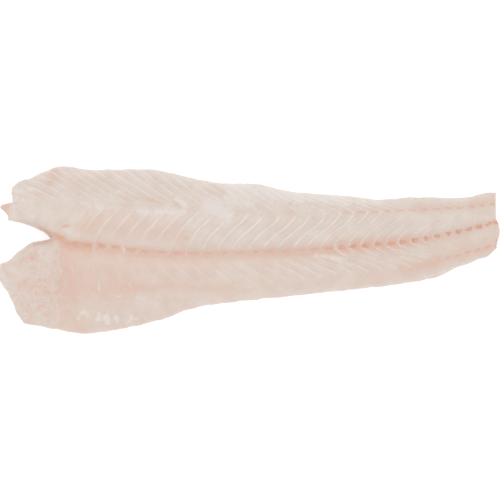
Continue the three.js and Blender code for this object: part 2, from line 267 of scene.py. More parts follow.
# Thickness along the length, and how it falls off across it from row 0 to row 2.
thickness = smooth_through([
    (x, share * LOIN_THICKNESS)
    for x, share in (
        (-170, 0.64), (-120, 0.88), (-60, 1), (0, 0.88), (60, 0.68), (120, 0.52), (170, 0.42),
    )
])
back_fall = smooth_through([(0, 0.82), (0.75, 1), (1.5, 0.82), (2, 0.56)])
belly_fall = smooth_through([(0, 0.82), (0.5, 0.8), (1.2, 0.56), (2, 0.32)])
belly_tail_fall = smooth_through([(0, 0.82), (0.6, 0.86), (1.2, 0.78), (2, 0.6)])


class Half(NamedTuple):
    """One side of the spine line. Rows run from 0 on the spine line (or the notch) over 1 on the
    fold line of the muscle to 2 on the outer edge."""

    fold: Callable
    edge: Callable
    notch_edge: Callable
    lean: Callable
    fall: Callable
    head_end: Callable
    tail_end: Callable


BACK = Half(
    fold=back_line,
    edge=back_edge,
    notch_edge=notch_back_edge,
    lean=back_lean,
    fall=lambda x, row: back_fall(row),
    head_end=end_line([
        (0, -48.4), (0.28, -48.3), (0.46, -48.9), (0.64, -49.7), (0.74, -49.8), (0.86, -49.5),
        (0.93, -49.2), (0.98, -47.6), (1.03, -47.2), (1.3, -47.2), (1.6, -47.5), (2, -47.5),
    ]),
    tail_end=end_line([(0, 49.5), (0.25, 49.1), (1.7, 49.1), (2, 49.4)]),
)
BELLY = Half(
    fold=belly_line,
    edge=belly_edge,
    notch_edge=notch_belly_edge,
    lean=belly_lean,
    fall=lambda x, row: lerp(belly_fall(row), belly_tail_fall(row), ramp(0, 110, x)),
    head_end=end_line([
        (0, -49.6), (0.39, -50), (0.7, -49.7), (1, -48.7), (1.4, -47.4), (1.75, -46.5),
        (1.95, -45.6), (2, -45.2),
    ]),
    tail_end=end_line([(0, 49.5), (0.22, 49.8), (0.44, 50), (0.82, 49.5), (1.24, 49.3), (2, 49.4)]),
)
HALVES = (BACK, BELLY)


def plan_point(half, column, row):
    """Plan position of a grid point. Columns run from -1 at the head end over 0 at the notch and 1
    where the tail starts to 2 at the tail end. From 0 to 1 a column is one W of the flakes: the
    sheet's place on the spine line plus its lean. Beyond, it turns to follow the end outline.
    Across, a point lies between the spine line, the fold line and the edge, as its row says."""
    flake = lerp(NOTCH_FLAKE, TAIL_FLAKE, np.clip(column, 0, 1))
    x = sheet_x(flake) + half.lean(sheet_x(flake), row)
    x = lerp(x, half.head_end(row), np.maximum(-column, 0))
    x = lerp(x, half.tail_end(row), np.maximum(column - 1, 0))
    inner_edge = np.where(x < NOTCH_X, half.notch_edge(x), spine_line(x))
    inner = lerp(inner_edge, half.fold(x), np.minimum(row, 1))
    outer = lerp(half.fold(x), half.edge(x), np.maximum(row - 1, 0))
    return x, np.where(row > 1, outer, inner)


def inset_point(half, column, row, distance):
    """Plan position of a grid point after the whole outline has moved inward by a distance. Rows
    move away from the edges, the more the closer they lie to one, and end columns away from the
    ends, by that distance as a share of the band they lie in."""
    def band(axis, start, end):
        return np.abs(end[axis] - start[axis])

    at_fold = plan_point(half, column, np.ones_like(row))
    outer = distance / band(1, at_fold, plan_point(half, column, 2 + 0 * row))
    inner = distance / band(1, plan_point(half, column, 0 * row), at_fold)
    new_row = row + np.where(column < 0, inner, 0) * (1 - row / 2) ** 2 - outer * (row / 2) ** 2
    notch = plan_point(half, 0 * column, row)
    tail = plan_point(half, 1 + 0 * column, row)
    from_head = distance / band(0, plan_point(half, -1 + 0 * column, row), notch)
    from_tail = distance / band(0, tail, plan_point(half, 2 + 0 * column, row))
    new_column = column + from_head * np.maximum(-column, 0) - from_tail * np.maximum(column - 1, 0)
    return plan_point(half, new_column, new_row)


def row_at(half, x, y):
    """Row coordinate of a plan position: its share of the way across the inner band, or 1 more
    than its share of the way across the outer one."""
    inner = (y - spine_line(x)) / (half.fold(x) - spine_line(x))
    outer = 1 + (y - half.fold(x)) / (half.edge(x) - half.fold(x))
    return np.clip(np.where(inner > 1, outer, inner), 0, 2)


def half_and_row(x, y):
    """Whether a plan position lies in the back, and its row coordinate in its own half."""
    on_back = y > spine_line(x)
    return on_back, np.where(on_back, row_at(BACK, x, y), row_at(BELLY, x, y))


def flake_at(x, y):
    """Which flake a plan position lies in: the number of the sheet at the spine line, with its
    fraction. The sheet's root is found by taking off its lean, worked out again at each new root.
    Past the fold line of the back, the sheets that are missing there are taken off."""
    on_back, row = half_and_row(x, y)
    root = x
    for _ in range(ROOT_STEPS):
        root = x - np.where(on_back, back_lean(root, row), belly_lean(root, row))
    return sheet_number(root) - outer_missing(root) * ramp(0.98, 1.02, row) * on_back


def brush(x, y, strokes):
    """Soft marks in millimetres. A stroke (x0, y0, x1, y1, half width, strength) is a bell of the
    distance to the straight line between its ends, and strokes cover each other like thin paint."""
    x0, y0, x1, y1, half_width, strength = np.array(strokes, float).T
    x, y = x[..., None], y[..., None]
    dx, dy = x1 - x0, y1 - y0
    share = np.clip(((x - x0) * dx + (y - y0) * dy) / np.maximum(dx**2 + dy**2, 1e-9), 0, 1)
    distance = np.hypot(x - x0 - share * dx, y - y0 - share * dy)
    return 1 - np.prod(1 - strength * bell(distance, half_width), axis=-1)


def ripple(x, y, size, seed):
    """Smooth irregular waves between about -1 and 1: a fifth of the sum of 12 cosine waves of
    seeded directions and phases, with wavelengths from 0.7 to 1.6 times size."""
    rng = np.random.default_rng(seed)
    turn, phase = rng.uniform(0, 2 * np.pi, (2, 12))
    pace = 2 * np.pi / (size * rng.uniform(0.7, 1.6, 12))
    waves = np.cos(pace * (x[..., None] * np.cos(turn) + y[..., None] * np.sin(turn)) + phase)
    return waves.sum(axis=-1) / 5


# Pale membrane on the flesh, and painted highlights (whitish glints painted like it): x0, y0, x1, y1,
# half width, strength.
FILM_AND_GLINTS = [
    (-112, 31.5, -89.6, 28.7, 2.4, 0.5),
    (-107.3, 26, -101.8, 27.4, 2.7, 0.5),
    (-74.6, 26, -44.7, 26, 2.7, 0.75),
    # Painted highlight: a whitish glint on the back.
    (-48.8, 34.2, -42.7, 30.1, 1.7, 1),
    (-93.7, 36.2, -86.9, 38.9, 3.4, 0.45),
    (-57.6, 31.5, -54.2, 30.1, 1.7, 0.6),
    (-28.4, 29.4, -14.8, 23.3, 4.8, 0.75),
    (-23.6, 31.5, 0.2, 36.9, 6.1, 0.6),
    (-12.1, 42.3, 34.2, 35.5, 5.4, 0.9),
    (13.8, 39.6, 64.8, 33.5, 4.1, 0.9),
    (34.2, 36.9, 88.6, 32.1, 2.7, 0.6),
    (0.2, 30.8, 8.3, 23.3, 2.7, 0.4),
    (-156.2, 39.6, -148.1, 41, 3.4, 0.6),
    (-156.2, 34.2, -146.7, 32.1, 2.7, 0.6),
    (-159.6, 30.1, -146, 23.3, 4.1, 0.35),
    (-122.5, 12.8, -116, 10, 2.8, 0.5),
    # Painted highlights: this stroke and the next eleven are whitish glints on the strip along the
    # belly edge.
    (-114, -42.5, -110.3, -41.6, 1.8, 0.8),
    (-116.1, -46.5, -115.4, -45.8, 1.6, 0.7),
    (-110, -45.4, -110.2, -43.8, 1.3, 0.75),
    (-102.6, -46.8, -102, -43.3, 1.4, 0.95),
    (-104, -46.2, -101.4, -47, 1.2, 0.7),
    (-96.7, -44.2, -96, -48.9, 1.8, 1),
    (-98.8, -46.2, -96.4, -48.6, 1.3, 0.8),
    (-90.9, -44.6, -90.2, -48.6, 1.5, 0.9),
    (-91.8, -45.9, -89.4, -45.9, 1.1, 0.7),
    (-80.9, -44, -79.6, -46.4, 1.4, 0.9),
    (-79.8, -46.4, -76.8, -46.8, 1.4, 0.9),
    (-82.6, -48.8, -81.8, -48.4, 1.3, 0.8),
    (-107.3, -33.8, -99.1, -35.9, 2, 0.3),
    (-72.6, -33.8, -61, -37.9, 4.1, 0.35),
    (-90, -31.1, -75.6, -31.3, 0.9, 0.55),
    (-75.6, -31.3, -72.6, -34.2, 1.1, 0.6),
    (-101.8, -18.2, -101.4, -27, 0.9, 0.5),
    (-105.4, -12, -104, -18, 0.7, 0.4),
    (-87.5, -17, -88.2, -25, 0.8, 0.4),
    (-80.8, -23, -79.4, -25, 0.7, 0.7),
    (44.4, -3.2, 64.8, -6, 1.7, 0.6),
    (54.6, -5.3, 69.5, -10.7, 1, 0.5),
    (27.4, -8, 47.8, -16.8, 1.4, 0.35),
    (151, 21, 160.7, 22, 3, 0.4),
    (119.2, -18.2, 160, -5.3, 2, 0.5),
    (-168.5, -13.4, -161.7, -33.8, 2.7, 0.5),
    (-164.4, -8, -149.4, 2.9, 2, 0.3),
    (-130.4, 4.2, -127.7, -13.4, 1.7, 0.35),
    (-119.5, -11.4, -118.8, -15.5, 0.7, 0.6),
    (-104.4, 6, -105, 0.2, 0.6, 0.6),
    (-85.6, 3, -84, -1.5, 1, 0.6),
    (-52.6, 5.5, -53.6, -2, 0.7, 0.55),
    (-41.8, 5, -42.6, -3.2, 0.7, 0.5),
]

# Dark red flesh and flecks of blood, in the same form.
BLOOD = [
    (-141.5, 14.4, -126, 8.6, 1.7, 0.65),
    (-133, 9.8, -124.5, 7.4, 2, 0.5),
    (-123, 4.2, -107.5, 3.2, 2.6, 0.4),
    (-118, 5.4, -116.2, 5.3, 0.6, 0.8),
    (-99.6, 2.9, -99.2, 2.6, 0.9, 0.7),
    (-125.6, 16.2, -122.2, 16.2, 0.6, 0.9),
    (-42.3, 9.7, -42.3, 7, 0.4, 0.9),
    (-133.5, 51.5, -132, 48.5, 2.6, 0.12),
    (-134.8, 45.8, -133.5, 46.2, 1.2, 0.2),
    (-88.2, 36.2, -62.4, 33.5, 1.8, 0.06),
    (-69.2, 34.2, -57, 30.8, 1.2, 0.25),
    (-50.2, 32.1, -46.8, 28.1, 0.8, 0.35),
    (-36.6, 36.2, -33.2, 32.8, 1.4, 0.12),
    (-146.7, -3.9, -144, -5.3, 2, 0.3),
    (-138.2, -25.3, -138.2, -25.3, 0.6, 0.8),
    (166.1, 19.2, 168.8, 19.6, 1.4, 0.8),
    (167.5, 7, 166.8, 2.2, 1, 0.5),
    (24, 25.3, 28.7, 26, 1.6, 0.1),
]

# Pinker flesh, in broad soft places, in the same form. Two strokes are painted shade, a darker warm
# pink along the notch's back edge and beside its apex, where shade falls.
BLUSH_AND_NOTCH_SHADE = [
    (-124.9, -8, -118.8, -32.5, 6.8, 0.4),
    (-122.2, -23.6, -91.6, -28.4, 9.5, 0.37),
    (-137.2, -22.3, -127.7, -27, 6.8, 0.4),
    (-88.2, -22.3, -78, -25.7, 5.4, 0.36),
    (-125.6, 0.2, -33.8, -8, 6.8, 0.1),
    (-115.4, -12.1, -33.8, -14.8, 8.2, 0.16),
    (-81.4, -25, -12.1, -25, 3.4, 0.38),
    (-139.2, -40.6, -115.4, -50.8, 8.2, 0.3),
    (82, -17, 104, -13.5, 4.8, 0.25),
    (106, -12.6, 125, -8.4, 4.1, 0.6),
    (122.6, -8, 163.4, 2.2, 3.4, 0.45),
    (132.8, 0.2, 143, 3.6, 5.4, 0.15),
    (-131.5, 54.5, -130.5, 48.5, 4.6, 0.5),
    # Painted shade: this stroke and the next lay a darker warm pink on the shade along the notch's back
    # edge and beside its apex.
    (-157, 18.6, -141, 14, 1.6, 0.45),
    (-145, 3.4, -136.5, 6.8, 1.2, 0.45),
    (-135.5, 45.5, -133.5, 46.5, 2.4, 0.4),
    (-108.6, 17.2, -47.4, 10.4, 8.2, 0.46),
    (-89.6, 36.2, -62.4, 33.5, 2.4, 0.22),
    (-156.2, 36.9, -135.8, 36.9, 3.4, 0.2),
    (-118.8, 44.4, -95, 44.4, 5.4, 0.15),
    (149.8, 31.5, 166.8, 32.1, 2.7, 0.45),
    (115.8, 28.7, 149.8, 29.4, 2.7, 0.35),
    (64.8, 25.3, 115.8, 27.4, 2.7, 0.2),
    (-40.6, 34.2, -27, 37.6, 3.4, 0.1),
    (13.8, 27.4, 27.4, 26, 3.4, 0.1),
    (-168.5, 28.6, -162.6, 29.8, 2.4, 0.45),
    (-165, 26.6, -163.2, 25.4, 2.2, 0.4),
    (-151.5, -5.3, -147.4, -4.6, 4.1, 0.45),
    (-152.8, -23.6, -146, -28.4, 4.8, 0.35),
]

# Strength of the three rows of red dots at places along the fillet.
spine_dots = smooth_through([
    (-128, 0), (-118, 0.5), (-60, 0.55), (-35, 0.45), (15, 0.45), (50, 0.6), (70, 0.9),
    (160, 0.95),
])
back_dots = smooth_through([(50, 0), (65, 0.3), (110, 0.4), (165, 0.5)])
belly_dots = smooth_through([(125, 0), (135, 0.4), (165, 0.45)])

# Warmth of the flesh beside the spine line, and how far to each side it reaches.
spine_warmth = smooth_through([
    (-135, 0.5), (-120, 0.8), (-95, 0.65), (-40, 0.6), (40, 0.6), (75, 0.9), (105, 0.85),
    (125, 0.6), (170, 0.5),
])
warm_half_width = smooth_through([
    (-135, 3.2), (0, 3.2), (45, 4.2), (70, 5.4), (108, 4.6), (125, 3), (170, 3),
])

# How much of its white a back sheet loses on its way down to the spine line.
paler_root = smooth_through([
    (-110, 0.6), (-60, 0.6), (-20, 0.15), (45, 0), (75, 0.55), (150, 0.55),
])


def back_sheet_show(x, row, from_spine):
    """How clearly the sheets show in the back: the product of five shares. The arms inside and
    outside the fold line start at their own places. All fade in a band beside the fold line, less
    so toward the tail. Over most of the length they stop short of the spine line. Toward the tail
    the outer arms fade out first, and all fade at the very edge."""
    inner_arms = ramp(-122, -98, x) * lerp(0.65, 1, ramp(-65, 5, x))
    outer_arms = ramp(-168, -155, x) * lerp(0.75, 0.88, ramp(-130, -100, x))
    arms = lerp(inner_arms, outer_arms, ramp(0.9, 1.1, row))
    fold_band = lerp(lerp(0.35, 0.2, ramp(-70, -40, x)), 0.15, ramp(0.99, 1.01, row))
    joined = lerp(ramp(0, fold_band, np.abs(row - 1)), 1, 0.7 * ramp(25, 62, x))
    root = lerp(14, 6, ramp(-50, -28, x))
    rooted = lerp(1, ramp(0.15 * root, root, from_spine), ramp(-100, -90, x) * ramp(65, 45, x))
    tail = lerp(ramp(150, 118, x), ramp(110, 80, x), ramp(0.5, 0.85, row))
    return arms * joined * rooted * tail * ramp(2.02, 1.9, row)


def belly_sheet_show(x, row, from_spine):
    """The same in the belly, as a product of three shares: faint but for a stretch toward the tail,
    only up to the fold line, and short of the spine line except toward the tail."""
    stretch = lerp(0.22, 0.7, ramp(0, 50, x)) * ramp(148, 100, x) * ramp(-80, -45, x)
    rooted = lerp(ramp(2, 9, from_spine), 1, ramp(45, 65, x))
    return stretch * ramp(1.1, 0.75, row) * rooted


def sheet_show(x, y):
    """How clearly the sheets show at a plan position, from 0 to 1."""
    on_back, row = half_and_row(x, y)
    from_spine = np.abs(y - spine_line(x))
    return np.where(
        on_back, back_sheet_show(x, row, from_spine), belly_sheet_show(x, row, from_spine)
    )


def flake_relief(x, y):
    """Flakes stand proud between their sheets: a squared sine of the flake number, less a narrow
    bell at each sheet, as far as the sheets show."""
    number = flake_at(x, y)
    from_sheet = number - np.round(number)
    bulge = BLOCK_BULGE * np.sin(np.pi * from_sheet) ** 2
    groove = SHEET_DEPTH * bell(from_sheet, SHEET_HALF_WIDTH)
    return (bulge - groove) * sheet_show(x, y)


def furrows(x, y):
    """Bells across the bone line and the two fold lines, taken off the surface."""
    midline = MIDLINE_DEPTH * bell(y - spine_line(x), MIDLINE_HALF_WIDTH) * ramp(-138, -120, x)
    back_fold = BACK_LINE_DEPTH * bell(y - back_line(x), BACK_LINE_HALF_WIDTH)
    belly_fold = BELLY_LINE_DEPTH * bell(y - belly_line(x), BELLY_LINE_HALF_WIDTH)
    return -(midline + back_fold + belly_fold * ramp(-70, -30, x))


def in_flap(x, y):
    """How much a place belongs to the belly flap: a ramp toward the head end times one down from
    the spine line."""
    return ramp(-112, -136, x) * ramp(9, 2, y)


def past_crease(x, y):
    """Distance toward the tail from the crease at the flap's root, which leans a little."""
    return x - CREASE_X - CREASE_LEAN * y


def flap_relief(x, y):
    """Wrinkles of the belly flap, crossed sine waves with small irregular ones on top, and a bell
    across the crease at its root."""
    bend = 0.42 * x + 0.3 * y + 2.2 * np.sin(0.11 * y)
    waves = np.sin(bend) * np.sin(0.23 * y + 0.16 * x) + 0.45 * ripple(x, y, 5, seed=3)
    along_crease = ramp(-34, -22, y) * ramp(8, 3, y)
    crease = CREASE_DEPTH * bell(past_crease(x, y), CREASE_HALF_WIDTH) * along_crease
    return WRINKLE_DEPTH * waves * in_flap(x, y) - crease


def strip_step(x, y):
    """The strip along the belly edge lies a step lower than the muscle beside it: a ramp across
    its border, which dies away toward the tail."""
    fall = ramp(STRIP_Y + STRIP_HALF_SLOPE, STRIP_Y - STRIP_HALF_SLOPE, y)
    return -STRIP_STEP * fall * ramp(-20, -60, x)


def slump(x, y):
    """Slow waves of flesh that has been lifted and laid down: a sine along the fillet times a
    cosine across it, and a slanted sine."""
    waves = 0.5 * np.sin(0.052 * x + 0.9) * np.cos(0.06 * y)
    return waves + 0.35 * np.sin(0.095 * x - 0.07 * y + 2)


def membrane_and_glint_relief(x, y):
    """Bits of membrane and the painted glints stand a little proud, and bloody places are sunken."""
    return MEMBRANE_AND_GLINT_HEIGHT * brush(x, y, FILM_AND_GLINTS) - BLOOD_DEPTH * brush(x, y, BLOOD)


def surface_relief(x, y):
    """All that stands out of the smooth bone side or is sunk into it, added up."""
    broad = flake_relief(x, y) + furrows(x, y) + strip_step(x, y) + slump(x, y)
    fine = RIPPLE_HEIGHT * ripple(x, y, RIPPLE_SIZE, seed=5)
    return broad + flap_relief(x, y) + membrane_and_glint_relief(x, y) + fine


def top_height(half, x, y, row, from_outline):
    """Height of the bone side: thickness along, times its fall across, rounded off in a quarter
    ellipse over the last few millimetres, with the relief faded out there. The cut ends keep a
    higher rim."""
    in_tip = ramp(TIP_ROOT[0], TIP_END[0], x) * ramp(TIP_ROOT[1], TIP_END[1], y)
    share = lerp(1, TIP_SHARE, in_tip) if half is BACK else 1
    inward = np.minimum(from_outline / EDGE_ROUND, 1)
    rim = lerp(EDGE_SHARE, CUT_SHARE, ramp(-140, -156, x) + ramp(154, 166, x))
    rounding = rim + (1 - rim) * np.sqrt(inward * (2 - inward))
    return thickness(x) * half.fall(x, row) * share * rounding + surface_relief(x, y) * inward


def grid_lines():
    """Column and row coordinates of the grid. Between the notch and the tail the columns stand at
    the same stations in each flake. Elsewhere, columns and rows are spaced as a power of even
    steps, which crowds them toward the outline."""
    crowded = 1 - np.linspace(1, 0, HEAD_COLUMNS + 1) ** CROWDING
    head = -crowded[::-1]
    flakes = (np.arange(int(NOTCH_FLAKE), TAIL_FLAKE)[:, None] + np.array(FLAKE_STATIONS)).ravel()
    flakes = flakes[flakes > NOTCH_FLAKE + FIRST_GAP]
    body = (flakes - NOTCH_FLAKE) / (TAIL_FLAKE - NOTCH_FLAKE)
    tail = 2 - np.linspace(1, 0, TAIL_COLUMNS + 1) ** CROWDING
    inner = np.linspace(0, 1, INNER_ROWS + 1) ** CROWDING
    outer = 2 - np.linspace(1, 0, OUTER_ROWS + 1)[1:] ** CROWDING
    return np.concatenate([head, body, tail]), np.sort(np.concatenate([inner, TIP_ROWS, outer]))


def outline_walk(columns, rows):
    """The outline once round, as rows of (place in HALVES, column index, row index): back edge,
    tail, belly edge, belly flap, notch and loin."""
    last_column, last_row = len(columns) - 1, len(rows) - 1
    notch = int(np.argmin(np.abs(columns)))
    onward, outward, to_notch = (np.arange(count) for count in (last_column, last_row, notch))
    back, belly = 0, 1
    stretches = (
        (back, onward, last_row),
        (back, last_column, last_row - outward),
        (belly, last_column, outward),
        (belly, last_column - onward, last_row),
        (belly, 0, last_row - outward),
        (belly, to_notch, 0),
        (back, notch - to_notch, 0),
        (back, 0, outward),
    )
    return np.concatenate([np.stack(np.broadcast_arrays(*stretch), axis=1) for stretch in stretches])


def distance_to_outline(x, y, outline_x, outline_y):
    """Distance from each point to the nearest place on any of the closed outline's straight edges.
    The whole array is worked out in parts, for the sake of memory."""
    edge_x, edge_y = np.roll(outline_x, -1) - outline_x, np.roll(outline_y, -1) - outline_y
    length2 = edge_x**2 + edge_y**2
    nearest = []
    for part in np.array_split(np.arange(x.size), x.size // CHUNK + 1):
        dx, dy = x.flat[part][:, None] - outline_x, y.flat[part][:, None] - outline_y
        t = np.clip((dx * edge_x + dy * edge_y) / length2, 0, 1)
        nearest.append(np.hypot(dx - t * edge_x, dy - t * edge_y).min(axis=1))
    return np.concatenate(nearest).reshape(x.shape)


def ragged(x, y, from_outline):
    """A knife's small unevenness: plan positions wander in slow ripples, whose size falls off
    exponentially with the distance from the outline."""
    near = KNIFE_WANDER * np.exp(-from_outline / KNIFE_REACH)
    return x + near * ripple(x, y, KNIFE_WAVE, seed=11), y + near * ripple(x, y, KNIFE_WAVE, seed=12)


class Skin(NamedTuple):
    """Points of the closed surface in millimetres, its four-cornered faces, and for each point how
    far it lies from the outline and how much it belongs to the underside."""

    points: np.ndarray
    faces: np.ndarray
    from_outline: np.ndarray
    underside: np.ndarray


def grid_faces(ids):
    """Faces of a grid of point numbers, in the turn that faces up on the back half."""
    corners = ids[:-1, :-1], ids[1:, :-1], ids[1:, 1:], ids[:-1, 1:]
    return np.stack([corner.ravel() for corner in corners], axis=1)


def band_faces(upper, lower):
    """Faces between two closed rings of point numbers, one below the other."""
    return np.stack([upper, np.roll(upper, -1), np.roll(lower, -1), lower], axis=1)


def four_grids(column, row, walk):
    """The grids of the back's and the belly's bone side and then of their undersides, each as x, y,
    height and distance from the outline. An underside is flat and set in by UNDERCUT."""
    plans = [plan_point(half, column, row) for half in HALVES]
    outline = [np.array([plans[h][axis][i, j] for h, i, j in walk]) for axis in (0, 1)]
    tops, undersides = [], []
    for half, (x, y) in zip(HALVES, plans):
        far = distance_to_outline(x, y, *outline)
        tops.append([x, y, top_height(half, x, y, row, far), far])
        x, y = inset_point(half, column, row, UNDERCUT)
        undersides.append([x, y, 0 * x, far])
    return np.array(tops + undersides)


def point_numbers(columns, rows):
    """Point numbers of the four grids. From the notch on, where the two halves meet, the belly's
    row 0 takes the back's points."""
    ids = np.arange(4 * len(columns) * len(rows)).reshape(4, len(columns), len(rows))
    joined = columns >= 0
    ids[1, joined, 0] = ids[0, joined, 0]
    ids[3, joined, 0] = ids[2, joined, 0]
    return ids


def wall_ring(half_of, column, row, rim_height, share):
    """One ring of the wall, at an angle t that is a share of a quarter turn: it lies inward by
    UNDERCUT times (1 - cos t), and its height is that of the rim times (1 - sin t)."""
    turn = 0.5 * np.pi * share
    inset = UNDERCUT * (1 - np.cos(turn))
    x, y = np.where(half_of == 0, *(inset_point(half, column, row, inset) for half in HALVES))
    return np.stack([x, y, rim_height * (1 - np.sin(turn)), 0 * x])


def fillet_skin():
    """The closed surface: a grid of the bone side and one of the underside for each half, joined
    along the spine line, and rings of wall round the outline between them."""
    columns, rows = grid_lines()
    column, row = np.meshgrid(columns, rows, indexing="ij")
    walk = outline_walk(columns, rows)
    grids = four_grids(column, row, walk)
    ids = point_numbers(columns, rows)
    faces = [grid_faces(ids[0]), grid_faces(ids[1])[:, ::-1]]
    faces += [grid_faces(ids[2])[:, ::-1], grid_faces(ids[3])]
    blocks = [grid.reshape(4, -1) for grid in grids]
    under = [np.full(column.size, share) for share in (0.0, 0.0, 1.0, 1.0)]

    half_of, walk_column, walk_row = walk.T
    rim_height = grids[half_of, 2, walk_column, walk_row]
    ring = ids[half_of, walk_column, walk_row]
    for step in range(1, WALL_STEPS):
        share = step / WALL_STEPS
        blocks.append(wall_ring(half_of, columns[walk_column], rows[walk_row], rim_height, share))
        under.append(np.full(len(walk), share))
        lower = ids.size + (step - 1) * len(walk) + np.arange(len(walk))
        faces.append(band_faces(ring, lower))
        ring = lower
    faces.append(band_faces(ring, ids[half_of + 2, walk_column, walk_row]))

    x, y, z, far = np.concatenate(blocks, axis=1)
    x, y = ragged(x, y, far)
    used, numbers = np.unique(np.concatenate(faces), return_inverse=True)
    points = np.stack([x, y, z], axis=1)[used]
    return Skin(points, numbers.reshape(-1, 4), far[used], np.concatenate(under)[used])


def pink_and_notch_shade_at(x, y, from_spine):
    """How pink the flesh is, from 0 to 1. Three layers cover each other like thin paint: a bell
    across the spine line with a wider one on its belly side, the belly past the crease, and the
    brushed places, two of which are painted shade in the notch."""
    wide = bell(from_spine + 4, 4.5) * ramp(80, 30, x)
    beside = bell(from_spine, warm_half_width(x)) + 0.45 * wide
    warmth = np.clip(spine_warmth(x) * beside * ramp(-140, -125, x), 0, 1)
    behind_flap = ramp(-1.2, 1.2, past_crease(x, y))
    beside_flap = behind_flap * ramp(-60, -110, x) * ramp(-34, -24, y)
    in_belly = (0.05 + 0.08 * behind_flap + 0.12 * beside_flap) * ramp(2, -5, from_spine)
    return 1 - (1 - warmth) * (1 - in_belly) * (1 - brush(x, y, BLUSH_AND_NOTCH_SHADE))


def nearest_dots(x, y, from_spine):
    """The row of dots nearest to each point, of those on the spine line and the two fold lines: how
    far in flakes its dots are shifted against the middle of a flake, how far away it is in half
    heights of its dots, and its strength."""
    rows = np.abs(np.stack([from_spine, y - back_line(x), y - belly_line(x)]))
    nearest = np.argmin(rows, axis=0)[None]
    shifts = np.stack([0.22 * ramp(50, 70, x), 0 * x, 0.45 + 0 * x])
    spine_height = lerp(lerp(1.6, 0.9, ramp(-70, -35, x)), 1.6, ramp(30, 75, x))
    half_heights = np.stack([spine_height, 0.95 + 0 * x, 0.95 + 0 * x])
    strengths = np.stack([spine_dots(x), back_dots(x), belly_dots(x)])
    values = shifts, rows / half_heights, np.clip(strengths, 0, 1)
    return [np.take_along_axis(value, nearest, axis=0)[0] for value in values]


def markings(skin):
    """What the flesh shows at each point, as named values for the material: the flake number, the
    number that the dots follow, the distance to the nearest row of dots in half heights of a dot,
    the distance across from the spine line in millimetres, and strengths from 0 to 1."""
    x, y = skin.points[:, 0], skin.points[:, 1]
    from_spine = y - spine_line(x)
    number = flake_at(x, y)
    shift, from_dots, dots = nearest_dots(x, y, from_spine)
    near_spine = ramp(22, 0, from_spine) * ramp(-2, 2, from_spine)
    return {
        "flake": number,
        "dot_number": number + shift,
        "from_dots": from_dots,
        "dots": dots,
        "sheets": sheet_show(x, y) * (1 - near_spine * paler_root(x)),
        # Pinkness, with the painted shade in the notch.
        "blush_and_notch_shade": pink_and_notch_shade_at(x, y, from_spine),
        # Membrane and painted highlights (the whitish glints).
        "film_and_glints": brush(x, y, FILM_AND_GLINTS),
        "blood": brush(x, y, BLOOD),
        "flap": in_flap(x, y),
        "across": from_spine,
        "underside": skin.underside,
    }


def linear(code):
    """An sRGB colour code as linear red, green and blue."""
    channels = [int(code[i : i + 2], 16) / 255 for i in (1, 3, 5)]
    return tuple(c / 12.92 if c <= 0.04045 else ((c + 0.055) / 1.055) ** 2.4 for c in channels)


def add_node(tree, kind, inputs=(), output=0, **settings):
    """Adds a node, gives it its settings, and links or sets its inputs, which come in their order or
    by name or number. Returns one of its outputs, where it has any."""
    node = tree.nodes.new("ShaderNode" + kind)
    for name, value in settings.items():
        setattr(node, name, value)
    for name, value in (inputs if isinstance(inputs, dict) else dict(enumerate(inputs))).items():
        if isinstance(value, bpy.types.NodeSocket):
            tree.links.new(value, node.inputs[name])
        else:
            node.inputs[name].default_value = value
    return node.outputs[output] if len(node.outputs) else None


# Settings of a Map Range node that climbs like ease, above.
EASED = {"interpolation_type": "SMOOTHSTEP"}

# Irregular clouds with values about a half: size in millimetres, detail and roughness. The specks
# that break up the dots are drawn coarser than the real ones.
CLOUDS = {
    "broad": (10, 3, 0.55),
    "patch": (3.03, 3, 0.6),
    "wander": (11.1, 2, 0.5),
    "swell": (5.88, 2, 0.5),
    "speck": (1.43, 2, 0.5),
    "mottle": (5.26, 4, 0.6),
    "thread": (6.67, 4, 0.65),
}


def flesh_clouds(add):
    """The clouds by name. A scale is one over the size in metres."""
    place = add("TexCoord", output="Object")
    return {
        name: add("TexNoise", {
            "Vector": place, "Scale": 1 / (size * MM), "Detail": detail, "Roughness": roughness,
        })
        for name, (size, detail, roughness) in CLOUDS.items()
    }


def flesh_fibres(add, marks):
    """Fine grain along the sheets, drawn about 1.3 mm wide and 8 mm long, coarser than the real one:
    seven grains to a flake, and 0.12 of a grain's length to a millimetre across the fillet."""
    x = add("Math", (marks["flake"], 7.0), operation="MULTIPLY")
    y = add("Math", (marks["across"], 0.12), operation="MULTIPLY")
    along_sheets = add("CombineXYZ", (x, y))
    return add("TexNoise", {"Vector": along_sheets, "Scale": 1.0, "Detail": 3, "Roughness": 0.6})


def white_sheets(add, marks, clouds):
    """Thin lines where the flake number is whole, which wander, swell and are broken. Returns the
    wandering number, the distance from the nearest sheet in flakes, and how white it is."""
    shift = add("MapRange", (clouds["wander"], 0.2, 0.8, -0.05, 0.05), **EASED)
    number = add("Math", (marks["flake"], shift), operation="ADD")
    from_sheet = add("Math", (number, 0.5), operation="PINGPONG")
    swelling = add("MapRange", (clouds["swell"], 0.3, 0.7, 0.75, 1.35), **EASED)
    narrowed = add("Math", (from_sheet, swelling), operation="MULTIPLY")
    line = add("MapRange", (narrowed, 0.16, 0.0), **EASED)
    broken = add("MapRange", (clouds["patch"], 0.3, 0.62, 0.45, 1), **EASED)
    shown = add("Math", (marks["sheets"], broken), operation="MULTIPLY")
    return number, from_sheet, add("Math", (line, shown), operation="MULTIPLY")


